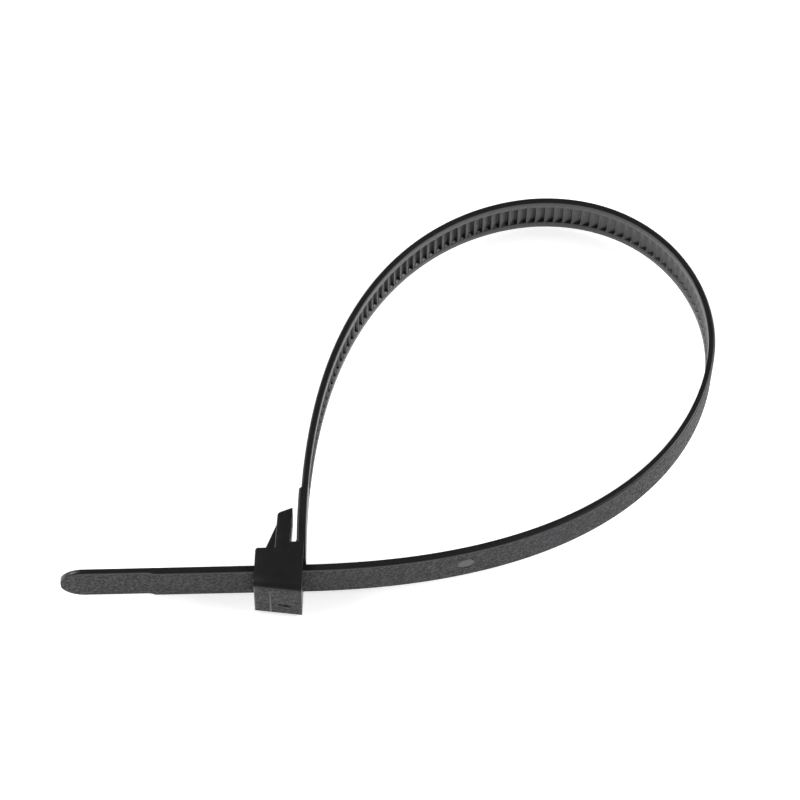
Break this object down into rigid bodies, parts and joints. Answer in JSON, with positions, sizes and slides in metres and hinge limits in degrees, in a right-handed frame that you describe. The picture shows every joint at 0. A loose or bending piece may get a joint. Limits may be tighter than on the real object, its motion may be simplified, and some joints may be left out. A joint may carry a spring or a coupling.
{
  "type": "cable tie",
  "caption": "Black releasable nylon cable tie closed into a teardrop loop, its tail passed through the slotted head.",
  "frame": {"origin": "middle of the whole outline seen from above, on the plane that the side of the head lies on", "axes": "+X from the tail's tip towards the far side of the loop, +Y from the head towards the top of the loop, +Z across the strap, up from the plane it lies on"},
  "size_m": [0.105, 0.0712, 0.0102],
  "materials": {
    "nylon": "matte"
  },
  "bodies": {
    "root": {"cable_tie": "nylon"}
  },
  "joints": []
}
